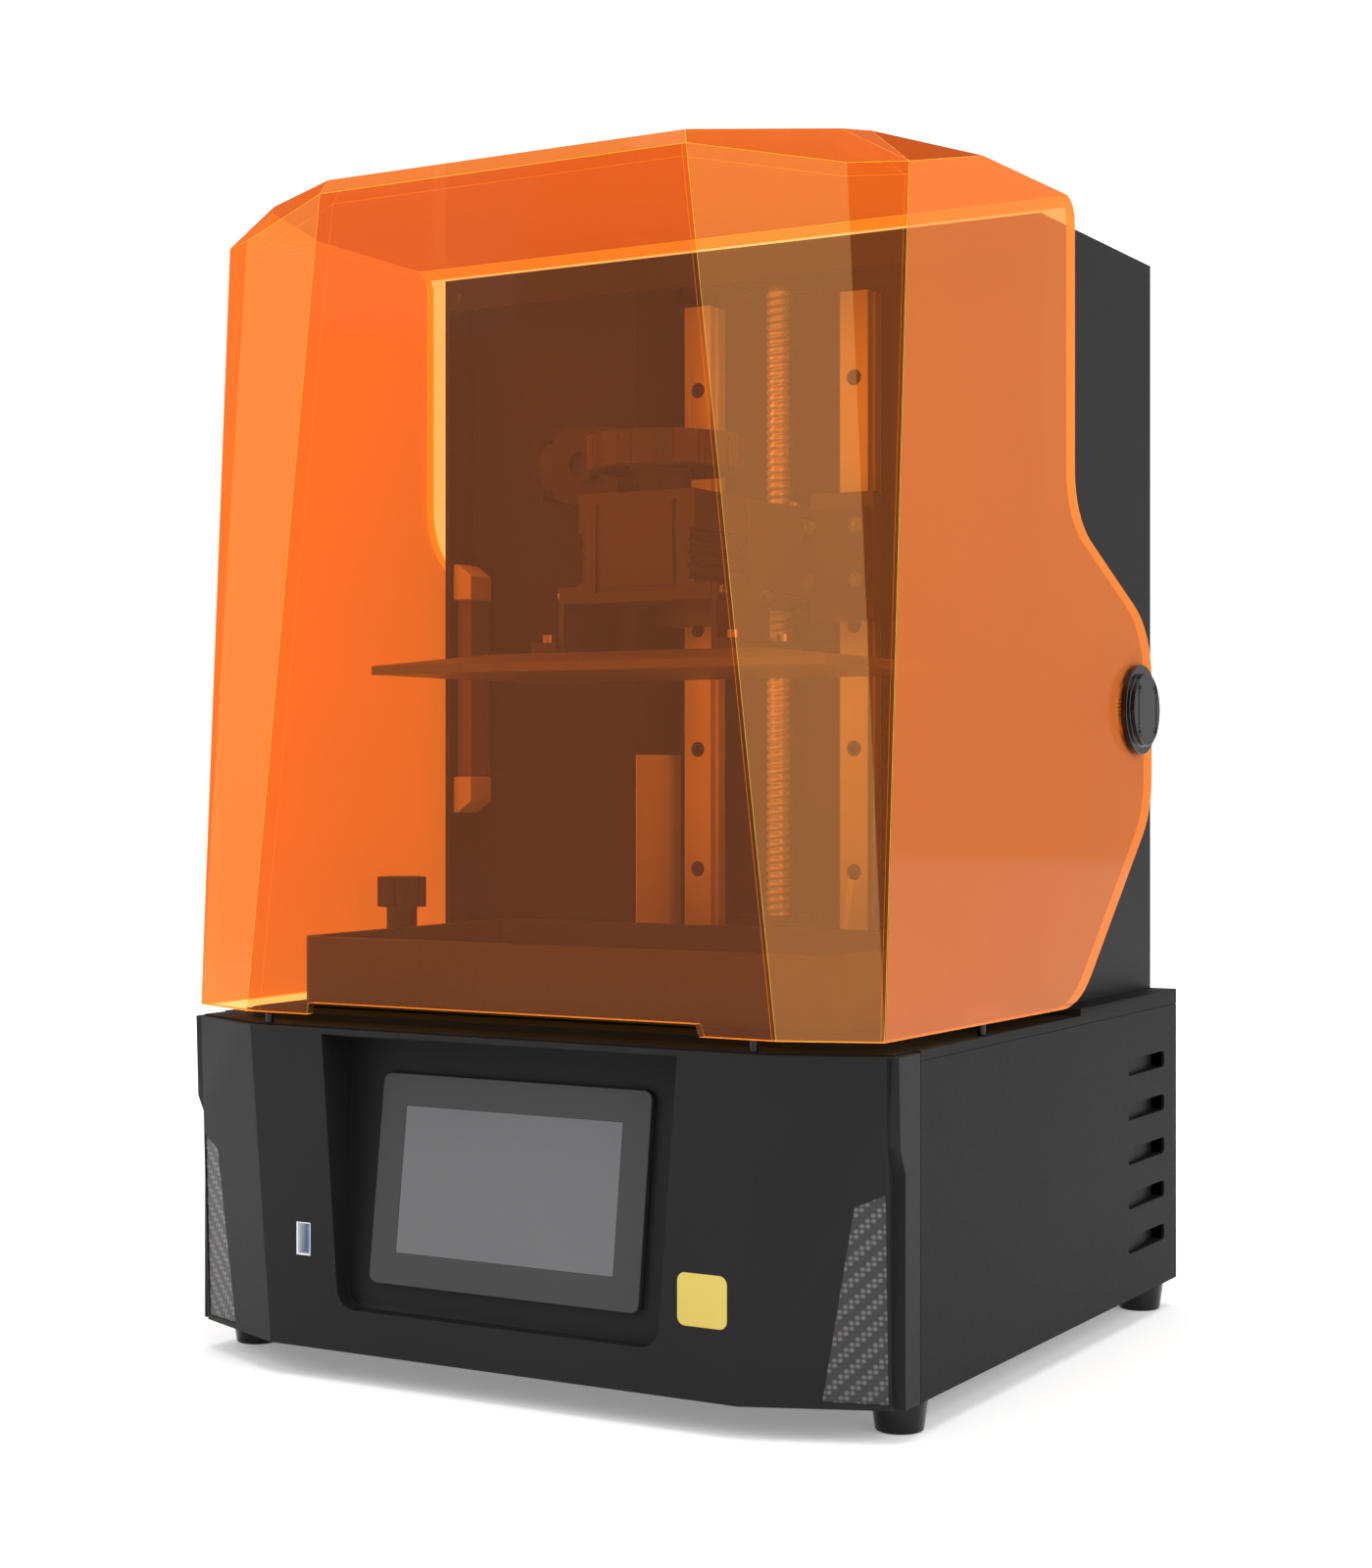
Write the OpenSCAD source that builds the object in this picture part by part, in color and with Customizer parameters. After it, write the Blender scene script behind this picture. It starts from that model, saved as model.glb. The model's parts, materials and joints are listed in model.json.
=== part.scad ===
// Resin printer: base with mask display, Z column, platform, vat and tilting cover.
// Millimetres, +Z up, front towards -Y, origin at the bottom centre of the whole machine.

/* [Base] */
// Width of the base over its side panels
base_w = 350; // [340:1:360]
// Height of the feet under the base
foot_h = 13.4; // [10:0.1:18]
// Height of the seam between the side panels and the deck
seam_z = 147.4; // [140:0.1:150]
// Thickness of the moulded front panel
front_t = 3; // [2:0.5:4]
// Thickness of the sheet metal panels
sheet_t = 1.5; // [1:0.1:2]
// Number of vent slots in each side panel
vent_count = 5; // [3:1:5]

/* [Column] */
// Half width of the column housing
col_hw = 161.7; // [155:0.1:165]
// Top of the column
col_top = 509.5; // [500:0.1:509.5]
// Distance from the centre line to each linear rail
rail_x = 43.65; // [40:0.05:46]
// Pitch of the rail screws
rail_pitch = 60; // [50:1:60]
// Diameter of the ball screw
screw_d = 12; // [10:1:12]

/* [Platform] */
// Width of the build plate
plate_w = 234; // [200:1:240]
// Depth of the build plate
plate_d = 131; // [100:1:134]
// Height of the build plate's underside in the drawn pose
plate_z = 305; // [295:1:310]
// Diameter of the clamping knob
knob_d = 72; // [50:1:76]

/* [Vat] */
// Outer half width of the vat
vat_hw = 136.7; // [130:0.1:138]
// Height of the vat's rim
vat_top = 186.3; // [180:0.1:187]
// Wall thickness of the vat
vat_t = 5; // [4:0.5:6]

/* [Cover] */
// Wall thickness of the clear cover
lid_t = 4; // [3:0.5:5]
// Height of the cover's lower edge
lid_bottom = 156; // [155:0.5:158]
// Height of the cover's roof
lid_top = 515.1; // [514:0.1:516]
// Outward lean of the cover's side walls, as a ratio
lid_flare = 0.0325; // [0.02:0.0005:0.035]

/* [Hidden] */
$fn = 48;

// Base outline
hw = base_w / 2;
front_y = -168.4;
rear_y = 168.4;
wrap_y = -128.2;
flange_y = -148;
base_top = 150.6;
centre_hw_top = 127;
centre_hw_bottom = 115.5;
chamfer_yaw = atan((flange_y - front_y) / (hw - centre_hw_top));
chamfer_lean = atan((centre_hw_top - centre_hw_bottom) / (base_top - foot_h) * sin(chamfer_yaw));
deck_z = 151.3;
plateau_z = 154.5;
step_y = 41.7;

// Display recess
recess_hw = 88;
recess_bottom = 31.7;
recess_top = 148.3;
display_tilt = 7.4;
display_z = 87.5;
display_y = -157.3;
bezel_w = 134;
bezel_h = 89;
bezel_t = 3.2;
display_w = 108;
display_h = 62;

// Exposure unit
lcd_y = -28.6;
lcd_w = 233;
lcd_d = 136;

// Rear panel
fan_x = 95;
fan_z = 84;
fan_r = 38;
inlet_x = -120;
inlet_z = 66;

// Column
col_front = 27.35;
col_rear = 166;
beam_z = 493.9;
back_y = 48.2;
channel_hw = 61.3;
channel_right = 79;
rail_base_y = 93.6;
rail_w = 15;
rail_h = 15;
rail_top = 494;
rail_bottom = 158;
screw_y = 83;
screw_top = 504;
col_t = 2.7;

// Devices on the back plate
heater_x = 130;
heater_y = 38;
heater_z = 200;
heater_screws = [[108, 41], [130, 45], [152, 41]];
camera_x = -66;
camera_y = 22;
camera_z = 408.5;

// Carriage
block_z = 333.5;
block_len = 61.4;
bracket_y = 57;
block_y = 65.6;
block_w = 34;
hole_grid = 13;
hole_z = 364.8;

// Platform head
head_y = -53.8;
head_rear = -3;
head_hw = 30.3;
arm_neck_hw = 26.9;
head_bottom = 336.9;
head_top = 386.7;
knob_y = -27.6;
knob_z = 398;
knob_t = 15.6;
foot_x = 48.4;
waist_hw = 26.8;
rib_pitch = 5.8;
rib_r = 2.9;

// Vat
vat_front = -123.3;
vat_rear = 45;
vat_z = 155;
vat_screw_x = 150;
vat_screw_y = -25.8;
vat_y = (vat_front + vat_rear) / 2;
vat_d = vat_rear - vat_front;

// Cover and hinge
roof_rear = 31.7;
front_wall = -165.85;
ear_rear = 130;
hinge_y = 101.5;
hinge_z = 289.5;
ear_x = 178.3;
pin_r = 6;
run_gap = 0.05;

// ---------- helpers ----------
module span(x, y, z)
  translate([x[0], y[0], z[0]]) cube([x[1] - x[0], y[1] - y[0], z[1] - z[0]]);

module both_sides() {
  children();
  mirror([1, 0, 0]) children();
}

module rounded_rect(w, h, r) {
  square([w - 2 * r, h], center = true);
  square([w, h - 2 * r], center = true);
  for (x = [-1, 1], y = [-1, 1])
    translate([x * (w / 2 - r), y * (h / 2 - r)]) circle(r);
}

module slab(w, d, h, r)
  linear_extrude(h) rounded_rect(w, d, r);

// Cylinder along Y, starting at the given point
module rod_y(p, r, len)
  translate(p) rotate([-90, 0, 0]) cylinder(r = r, h = len);

// Cylinder along X, starting at the given point
module rod_x(p, r, len)
  translate(p) rotate([0, 90, 0]) cylinder(r = r, h = len);

// Socket head screw standing along +Z, with its hexagon socket
module cap_screw(r, head_r, head_h, len) {
  difference() {
    cylinder(r = head_r, h = head_h);
    translate([0, 0, head_h * 0.45]) cylinder(r = r * 0.95, h = head_h, $fn = 6);
  }
  translate([0, 0, -len]) cylinder(r = r, h = len);
}

// Points of the arc that rounds the corner b of the path a, b, c
function unit(v) = v / norm(v);
function corner_arc(a, b, c, r, n = 8) =
  let (u = unit(a - b), w = unit(c - b), half = acos(u * w) / 2)
  let (mid = b + unit(u + w) * r / sin(half), p = b + u * r / tan(half), q = b + w * r / tan(half))
  let (s = atan2(p[1] - mid[1], p[0] - mid[0]), raw = atan2(q[1] - mid[1], q[0] - mid[0]) - s)
  let (turn = raw > 180 ? raw - 360 : raw < -180 ? raw + 360 : raw)
  [for (k = [0:n]) mid + r * [cos(s + turn * k / n), sin(s + turn * k / n)]];

// ---------- base ----------
// Everything behind the two slanted front corners
module behind_chamfers(inset) {
  intersection_for (side = [0, 1])
    mirror([side, 0, 0])
      translate([centre_hw_top, front_y, base_top])
        rotate([0, 0, chamfer_yaw])
          rotate([chamfer_lean, 0, 0])
            translate([-400, inset, -300]) cube([800, 600, 600]);
}

module front_block(inset, z0, z1) {
  intersection() {
    span([-hw + inset, hw - inset], [front_y + inset, wrap_y], [z0, z1]);
    behind_chamfers(inset);
  }
}

module in_chamfer_plane()
  translate([centre_hw_top, front_y, base_top])
    rotate([0, 0, chamfer_yaw])
      rotate([90 + chamfer_lean, 0, 0])
        children();

module insert_outline()
  polygon([[22.3, -134.5], [34.8, -58.6], [47, -53.4], [48, -135]]);

module display_plane()
  translate([0, display_y, display_z]) rotate([90 - display_tilt, 0, 0]) children();

module recess_cutter() {
  intersection() {
    display_plane() translate([0, 0, -bezel_t]) linear_extrude(40) square([400, 240], center = true);
    translate([0, front_y + 40, 0]) rotate([90, 0, 0])
      linear_extrude(60)
        polygon(concat(
          [[-recess_hw, recess_top]],
          corner_arc([-recess_hw, recess_top], [-recess_hw + 9, recess_bottom],
                     [recess_hw - 9, recess_bottom], 9),
          corner_arc([-recess_hw + 9, recess_bottom], [recess_hw - 9, recess_bottom],
                     [recess_hw, recess_top], 9),
          [[recess_hw, recess_top]]));
  }
}

module base_front_panel() {
  color("#262627")
  difference() {
    union() {
      difference() {
        front_block(0, foot_h, base_top);
        front_block(front_t, foot_h - 1, base_top + 1);
      }
      intersection() {
        front_block(front_t - 0.1, foot_h, seam_z - 0.2);
        both_sides() span([hw - 9, hw], [front_y, wrap_y], [foot_h, seam_z]);
      }
      intersection() {
        front_block(front_t - 0.1, foot_h, seam_z - 0.2);
        recess_walls();
      }
    }
    recess_cutter();
    both_sides() corner_strip();
    display_plane() translate([0, 0, -30]) linear_extrude(60) rounded_rect(118, 72, 2);
    both_sides() in_chamfer_plane() translate([0, 0, -1.2]) linear_extrude(5) insert_outline();
    span([-101.9, -94.1], [front_y - 1, front_y + 6], [52.6, 66.9]);
    badge_plate(0.6, 2);
  }
}

// Walls and floor that close the display recess behind its opening
module recess_walls() {
  intersection() {
    display_plane() translate([0, 0, -bezel_t - front_t]) linear_extrude(40) square([400, 260], center = true);
    span([-recess_hw - 3, recess_hw + 3], [front_y, front_y + 40], [recess_bottom - 4, base_top]);
  }
}

// Set-back strip along the panel's outer edge, bent further back below its middle
module corner_strip()
  translate([hw - 4.6, 0, 0]) rotate([90, 0, 90]) linear_extrude(6)
    polygon([[front_y, foot_h - 1], [-142.1, foot_h - 1], [-142.1, 105], [flange_y, 117],
             [flange_y, base_top + 1], [front_y, base_top + 1]]);

module carbon_inserts()
  color("#1b1b1d") both_sides() in_chamfer_plane() translate([0, 0, -1.2]) linear_extrude(0.6) insert_outline();

module touch_bezel()
  color("#3c3c3e")
  difference() {
    display_plane() translate([0, 0, -bezel_t]) linear_extrude(bezel_t) rounded_rect(bezel_w, bezel_h, 4);
    display_plane() translate([0, 0, -1]) linear_extrude(3) rounded_rect(display_w, display_h, 0.5);
  }

module touch_display()
  color("#6d6d6f") display_plane() translate([0, 0, -1]) linear_extrude(0.9) rounded_rect(display_w, display_h, 0.5);

module usb_shell()
  color("#b8babd")
  difference() {
    span([-101.9, -94.1], [front_y + 0.4, front_y + 17], [52.6, 66.9]);
    span([-101.3, -94.7], [front_y, front_y + 15], [53.2, 66.3]);
  }

module usb_tongue()
  color("#2f74b5") span([-96.9, -95], [front_y + 2, front_y + 15], [54, 65.5]);

module badge_plate(depth, thickness)
  translate([99.4, front_y + depth, 53]) rotate([90, 0, 0]) linear_extrude(thickness) rounded_rect(22.5, 21, 3.5);

module badge()
  color("#c9b14c") badge_plate(0.6, 0.6);

module side_panel()
  difference() {
    union() {
      span([hw - sheet_t, hw], [wrap_y + 0.2, rear_y - sheet_t], [foot_h, seam_z - 0.2]);
      span([hw - 12, hw], [wrap_y + 0.2, rear_y - sheet_t], [foot_h, foot_h + sheet_t]);
    }
    for (k = [0:vent_count - 1])
      translate([hw - 3, 126.6, 122 - 20.85 * k]) rotate([90, 0, 90]) linear_extrude(6) rounded_rect(49, 7.6, 2.4);
  }

module base_side_right()
  color("#242425") side_panel();

module base_side_left()
  color("#242425") mirror([1, 0, 0]) side_panel();

module base_rear_panel()
  color("#242425")
  difference() {
    span([-hw, hw], [rear_y - sheet_t, rear_y], [foot_h, seam_z - 0.2]);
    for (r = [8:6:fan_r])
      translate([fan_x, rear_y + 1, fan_z]) rotate([90, 0, 0])
        linear_extrude(4) difference() {
          circle(r);
          circle(r - 4);
          for (a = [45, 135]) rotate(a) square([2 * r + 2, 3.5], center = true);
        }
    span([inlet_x - 14, inlet_x + 14], [rear_y - 3, rear_y + 1], [inlet_z - 24, inlet_z + 24]);
  }

module base_bottom_plate()
  color("#1e1e1f")
  difference() {
    span([-hw + 12.2, hw - 12.2], [wrap_y, rear_y - sheet_t], [foot_h, foot_h + 2]);
    for (x = [-70:10:70]) span([x - 2.5, x + 2.5], [-70, 10], [foot_h - 1, foot_h + 3]);
  }

module top_deck()
  color("#232324")
  difference() {
    union() {
      span([-hw, hw], [wrap_y + 0.2, rear_y], [seam_z, deck_z]);
      front_block(front_t + 0.2, seam_z, deck_z);
      span([-hw, hw], [step_y, rear_y], [deck_z, plateau_z]);
      translate([0, (-146 + step_y) / 2, deck_z]) slab(312, 146 + step_y, plateau_z - deck_z, 22);
    }
    span([-lcd_w / 2 - 0.3, lcd_w / 2 + 0.3], [lcd_y - lcd_d / 2 - 0.3, lcd_y + lcd_d / 2 + 0.3], [plateau_z - 2.4, plateau_z + 1]);
    span([-lcd_w / 2 + 5, lcd_w / 2 - 5], [lcd_y - lcd_d / 2 + 5, lcd_y + lcd_d / 2 - 5], [seam_z - 1, plateau_z]);
    translate([0, screw_y, seam_z - 1]) cylinder(r = 6, h = 12);
    both_sides() translate([vat_screw_x, vat_screw_y, seam_z - 1]) cylinder(r = 4 + run_gap, h = 12);
  }

module feet()
  color("#151515")
  for (x = [-1, 1], y = [-120, 152])
    translate([162 * x, y, 0]) cylinder(r1 = 9.7, r2 = 11.6, h = foot_h);

// ---------- exposure unit ----------
module mask_lcd()
  color("#20242c") span([-lcd_w / 2, lcd_w / 2], [lcd_y - lcd_d / 2, lcd_y + lcd_d / 2], [plateau_z - 2.4, plateau_z - 0.1]);

module lamp_housing()
  color("#8d9094")
  difference() {
    span([-119, 119], [lcd_y - 70, lcd_y + 66], [44, seam_z]);
    span([-116, 116], [lcd_y - 67, lcd_y + 63], [43, seam_z + 1]);
  }

module led_board()
  color("#dfe3e6") span([-119, 119], [lcd_y - 70, lcd_y + 66], [41, 44]);

module lens_array()
  color("#cfe2ea")
  for (i = [-3:3], j = [-1.5:1.5])
    translate([i * 32, lcd_y - 2 + j * 31, 44]) cylinder(r = 14, h = 6);

module lamp_heat_sink()
  color("#9a9da0") {
    span([-100, 100], [lcd_y - 55, lcd_y + 55], [36, 41]);
    for (x = [-98:8:94]) span([x, x + 2], [lcd_y - 55, lcd_y + 55], [20, 36]);
  }

module fan_frame()
  color("#1c1c1d")
  translate([fan_x, rear_y - sheet_t, fan_z]) rotate([90, 0, 0]) {
    linear_extrude(25) difference() {
      rounded_rect(80, 80, 4);
      circle(fan_r);
    }
    translate([0, 0, 23.5]) linear_extrude(1.5) {
      circle(14);
      for (a = [45, 165, 285]) rotate(a) translate([10, -2]) square([fan_r - 9, 4]);
    }
    translate([0, 0, 8]) cylinder(r = 2, h = 16);
  }

module fan_rotor()
  color("#2a2a2b")
  translate([fan_x, rear_y - 4, fan_z]) rotate([90, 0, 0])
    difference() {
      union() {
        cylinder(r = 15, h = 20);
        for (k = [0:6]) rotate(k * 360 / 7)
          translate([13, -1, 3]) rotate([25, 0, 0]) cube([23, 2, 15]);
      }
      translate([0, 0, 5]) cylinder(r = 2 + run_gap, h = 16);
    }

module mainboard()
  color("#1f5a3a") {
    span([30, 160], [60, 140], [24, 25.6]);
    span([50, 80], [80, 110], [25.6, 34]);
    span([100, 112], [66, 134], [25.6, 37]);
    span([132, 150], [70, 100], [25.6, 40]);
    for (x = [36, 154], y = [66, 134]) translate([x, y, foot_h + 2]) cylinder(r = 3, h = 9);
  }

module power_supply()
  color("#a9acae") span([-160, -55], [50, 140], [foot_h + 2, 52]);

module power_inlet()
  color("#141415")
  difference() {
    span([inlet_x - 14, inlet_x + 14], [rear_y - 24, rear_y], [inlet_z - 24, inlet_z + 24]);
    span([inlet_x - 12, inlet_x + 12], [rear_y - 17, rear_y + 1], [inlet_z - 20, inlet_z - 3]);
    difference() {
      span([inlet_x - 10.3, inlet_x + 10.3], [rear_y - 14, rear_y + 1], [inlet_z + 3.7, inlet_z + 18.3]);
      for (x = [-10.5, 9]) rod_x([inlet_x + x, rear_y - 6, inlet_z + 11], 1.2, 1.5);
    }
  }

module switch_rocker()
  color("#0f0f10")
  translate([inlet_x - 10, rear_y - 6, inlet_z + 11])
    rotate([90, 0, 90]) difference() {
      linear_extrude(20) rotate(-8) polygon([[-4, -6], [4.6, -6.2], [2.8, 0], [4.6, 6.2], [-4, 6]]);
      translate([0, 0, -1]) cylinder(r = 1.2 + run_gap, h = 22);
    }

// ---------- column ----------
module column_housing()
  color("#252526")
  difference() {
    span([-col_hw, col_hw], [col_front, col_rear], [plateau_z, col_top]);
    span([-col_hw + col_t, col_hw - col_t], [col_front + 2, col_rear + 1], [plateau_z - 1, col_top - col_t]);
    span([-col_hw + col_t, col_hw - col_t], [col_front - 1, col_front + 3], [plateau_z - 1, beam_z]);
    both_sides() rod_y([153.6, col_front - 1, 500], 1.4, 4);
  }

module column_rear_cover()
  color("#232324")
  difference() {
    span([-col_hw, col_hw], [col_rear, rear_y], [plateau_z, col_top]);
    for (k = [0:7])
      translate([0, col_rear - 1, 190 + 9 * k]) rotate([-90, 0, 0]) linear_extrude(5) rounded_rect(160, 4.4, 2.1);
  }

module column_back_plate()
  color("#2b2b2c")
  difference() {
    span([-col_hw + col_t, col_hw - col_t], [back_y, back_y + 2], [plateau_z, col_top - col_t]);
    span([-channel_hw, channel_right], [back_y - 1, back_y + 3], [plateau_z - 1, col_top]);
  }

module z_channel()
  color("#303031")
  difference() {
    span([-channel_hw - 3, channel_right + 3], [back_y + 2, rail_base_y + 8], [plateau_z, col_top - col_t]);
    span([-channel_hw, channel_right], [back_y, rail_base_y], [plateau_z - 1, col_top]);
  }

module z_rail()
  difference() {
    span([-rail_w / 2, rail_w / 2], [rail_base_y - rail_h, rail_base_y], [rail_bottom, rail_top]);
    for (x = [-1, 1])
      translate([x * (rail_w / 2 + 0.6), rail_base_y - 9, rail_bottom - 1]) cylinder(r = 2, h = 400);
    for (z = [rail_top - 42:-rail_pitch:rail_bottom + 10]) {
      rod_y([0, rail_base_y - rail_h - 1, z], 3.9, 6);
      rod_y([0, rail_base_y - rail_h, z], 2.25, rail_h + 1);
    }
  }

module z_rail_left()
  color("#b9bcc0") translate([-rail_x, 0, 0]) z_rail();

module z_rail_right()
  color("#b9bcc0") translate([rail_x, 0, 0]) z_rail();

module channel_side_cover()
  color("#c9cbcd") span([-channel_hw, -channel_hw + 0.5], [back_y, rail_base_y - 2], [158, 269.2]);

// Diffuser bar between two wedge shaped end blocks
module light_bar()
  color("#c8c6c2") {
    span([-157.5, -149], [32, back_y], [258, 348]);
    for (up = [0, 1])
      translate([0, 0, up ? 348 : 258])
        mirror([0, 0, up ? 0 : 1])
          translate([-158.8, back_y, 0]) rotate([90, 0, 0])
            linear_extrude(18.2) polygon([[0, 0], [11, 0], [11, 12], [3, 18], [0, 18]]);
  }

module screw_bearings()
  color("#1f1f20") {
    difference() {
      span([-17, 17], [66, rail_base_y], [174, 190]);
      translate([0, screw_y, 173]) cylinder(r = screw_d / 2 + run_gap, h = 30);
    }
    difference() {
      span([-17, 17], [66, rail_base_y], [498, col_top - col_t]);
      translate([0, screw_y, 497]) cylinder(r = screw_d / 2 + run_gap, h = 8);
    }
  }

module z_motor()
  color("#1a1a1b")
  difference() {
    translate([0, screw_y, seam_z - 56]) slab(56, 56, 56, 5);
    translate([0, screw_y, seam_z - 20]) cylinder(r = 4 + run_gap, h = 30);
  }

module heater_box()
  color("#202021")
  difference() {
    span([heater_x - 25, heater_x + 25], [heater_y, back_y], [heater_z - 10.5, heater_z + 10.5]);
    difference() {
      rod_y([heater_x, heater_y - 1, heater_z], 9.2, 9);
      rod_y([heater_x, heater_y + 2, heater_z], 1, 7);
    }
    for (p = heater_screws)
      translate([p[0], p[1], heater_z + 9.5]) cylinder(r = 1.4, h = 2);
  }

module heater_rotor()
  color("#2f2f30")
  difference() {
    union() {
      rod_y([heater_x, heater_y + 0.6, heater_z], 3.5, 7.2);
      for (k = [0:6])
        translate([heater_x, heater_y + 2, heater_z]) rotate([0, k * 360 / 7, 0])
          translate([3, 0, -0.6]) rotate([20, 0, 0]) cube([5.3, 4, 1.2]);
    }
    rod_y([heater_x, heater_y + 1.7, heater_z], 1 + run_gap, 7);
  }

// Rail screws, heater screws and the two small screws of the front beam
module column_screws()
  color("#3a3b3d") {
    for (x = [-rail_x, rail_x], z = [rail_top - 42:-rail_pitch:rail_bottom + 10])
      translate([x, rail_base_y - rail_h + 5, z]) rotate([90, 0, 0]) cap_screw(2.2, 3.7, 4.2, 10);
    for (p = heater_screws)
      translate([p[0], p[1], heater_z + 10.5]) cap_screw(1.4, 2.5, 3, 1);
    both_sides() translate([153.6, col_front, 500]) rotate([90, 0, 0]) cap_screw(1.4, 2.2, 1.2, 1.8);
  }

module camera_bracket()
  color("#2d2d2f") {
    span([-101, -94], [14, back_y], [camera_z - 15, camera_z + 15]);
    rod_x([-94, camera_y, camera_z], 5, 13);
  }

module camera_body()
  color("#242426")
  difference() {
    union() {
      translate([camera_x, camera_y - 14, camera_z]) rotate([-90, 0, 0]) slab(38, 36, 24, 9);
      rod_x([camera_x - 27, camera_y, camera_z], 13.5, 9);
      rod_y([camera_x, camera_y - 19, camera_z], 9, 6);
    }
    rod_x([camera_x - 30, camera_y, camera_z], 5 + run_gap, 16.6);
    rod_y([camera_x, camera_y - 20, camera_z], 6, 4);
  }

module hinge_pins()
  color("#1c1c1d")
  both_sides() {
    rod_x([col_hw, hinge_y, hinge_z], 15, 9);
    rod_x([col_hw + 8, hinge_y, hinge_z], pin_r, 13);
  }

// ---------- Z screw ----------
module ball_screw()
  color("#cfd1d3") translate([0, screw_y, 160]) cylinder(r = screw_d / 2, h = screw_top - 160);

module shaft_coupler()
  color("#a5a8ab") {
    difference() {
      translate([0, screw_y, 155]) cylinder(r = 9.8, h = 17);
      translate([0, screw_y, 160]) cylinder(r = screw_d / 2, h = 20);
    }
    translate([0, screw_y, 130]) cylinder(r = 4, h = 25);
  }

// ---------- carriage ----------
module bearing_blocks()
  color("#3b3c3e")
  for (x = [-rail_x, rail_x])
    difference() {
      translate([x, 0, 0]) span([-block_w / 2, block_w / 2], [block_y, rail_base_y - 1.6], [block_z, block_z + block_len]);
      translate([x, 0, 0]) span([-rail_w / 2 - 0.3, rail_w / 2 + 0.3], [rail_base_y - rail_h - 0.4, rail_base_y], [block_z - 1, block_z + block_len + 1]);
      for (i = [-hole_grid, hole_grid], k = [-hole_grid, hole_grid])
        rod_y([x + i, block_y - 1, hole_z + k], 2, 7);
    }

module carriage_bracket()
  color("#2e2e30")
  difference() {
    union() {
      span([-60, 60], [bracket_y, block_y], [343.5, 386.5]);
      span([-30, 30], [48, bracket_y], [382.2, 387.7]);
      span([-24, 24], [bracket_y, block_y], [381, 387.7]);
      span([-14, 14], [block_y, 93.2], [352, 387.7]);
    }
    translate([0, screw_y, 351]) cylinder(r = 9.5, h = 40);
    for (x = [-rail_x, rail_x], i = [-hole_grid, hole_grid], k = [-hole_grid, hole_grid])
      rod_y([x + i, bracket_y - 1, hole_z + k], 2, 12);
    for (x = [-20, 20]) translate([x, 61, 378]) cylinder(r = 1.6, h = 12);
  }

module ball_nut()
  color("#8f9295")
  difference() {
    union() {
      translate([0, screw_y, 346]) cylinder(r = 9.5, h = 41.7);
      translate([0, screw_y, 340]) cylinder(r = 10.2, h = 12);
    }
    translate([0, screw_y, 330]) cylinder(r = screw_d / 2 + run_gap, h = 70);
  }

module carriage_arm()
  color("#2e2e30") {
    span([-head_hw, head_hw], [head_rear + 0.4, bracket_y - 4], [344.5, 382]);
    span([-arm_neck_hw, arm_neck_hw], [bracket_y - 4, bracket_y], [344.5, 382]);
    span([-head_hw, head_hw], [head_rear + 0.4, 48], [382, head_top]);
    span([-13, 13], [-44, head_rear + 0.4], [350, 378]);
  }

module carriage_screws()
  color("#85888b") {
    for (x = [-rail_x, rail_x], i = [-hole_grid, hole_grid], k = [-hole_grid, hole_grid])
      translate([x + i, bracket_y, hole_z + k]) rotate([90, 0, 0]) cap_screw(2, 3.5, 3.6, 14);
    for (x = [-20, 20]) translate([x, 61, 387.7]) cap_screw(1.6, 2.8, 3.2, 9);
  }

// ---------- platform ----------
module head_profile() {
  difference() {
    union() {
      translate([-head_hw, 344.4]) square([2 * head_hw, head_top - 344.4]);
      translate([-38.8, head_bottom]) square([77.6, 7.6]);
    }
    for (side = [-1, 1])
      translate([side * (waist_hw + 3.5) - 3.5, 343.2 + rib_r]) square([7, 23]);
  }
  for (side = [-1, 1], k = [0:3])
    translate([side * (waist_hw - 1.4), 343.6 + rib_r + rib_pitch * (k + 0.5)]) circle(rib_r, $fn = 24);
}

module head_block()
  color("#2b2b2d")
  difference() {
    translate([0, head_rear, 0]) rotate([90, 0, 0]) linear_extrude(head_rear - head_y) head_profile();
    span([-13.3, 13.3], [-45, head_rear + 1], [349.7, 378.3]);
    translate([0, knob_y, 370]) cylinder(r = 6 + run_gap, h = 30);
    difference() {
      span([-21.5, 21.5], [head_y - 1, head_y + 1.5], [341.7, 381.8]);
      span([-19, 19], [head_y - 2, head_y + 2], [344.2, 390]);
      span([-19, 19], [head_y - 2, head_y + 2], [330, 344.2 - 2.5]);
    }
  }

module levelling_brackets()
  color("#2b2b2d")
  both_sides()
    difference() {
      union() {
        span([38.8, 41.3], [-53.2, head_rear], [314.5, 344.6]);
        span([41.3, 54.4], [-56, 2], [314.5, 319.6]);
      }
      for (y = [-50.9, -4.1]) translate([foot_x, y, 310]) cylinder(r = 2, h = 12);
      for (y = [-48.5, -8]) rod_x([38, y, 341], 1.5, 6);
    }

module build_plate()
  color("#8b8d90")
  difference() {
    hull() {
      translate([0, -28.6, plate_z + 2]) cube([plate_w, plate_d, 4], center = true);
      translate([0, -28.6, plate_z + 9]) cube([plate_w * 0.6, plate_d * 0.55, 1], center = true);
    }
    both_sides() for (y = [-50.9, -4.1]) translate([foot_x, y, plate_z + 4]) cylinder(r = 2, h = 12);
  }

module levelling_screws()
  color("#d0d2d4")
  both_sides() {
    for (y = [-50.9, -4.1]) translate([foot_x, y, 319.6]) cap_screw(2, 2.75, 3.7, 10);
    for (y = [-48.5, -8]) translate([41.3, y, 341]) rotate([0, 90, 0]) cap_screw(1.5, 2.8, 1.8, 2.4);
  }

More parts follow.
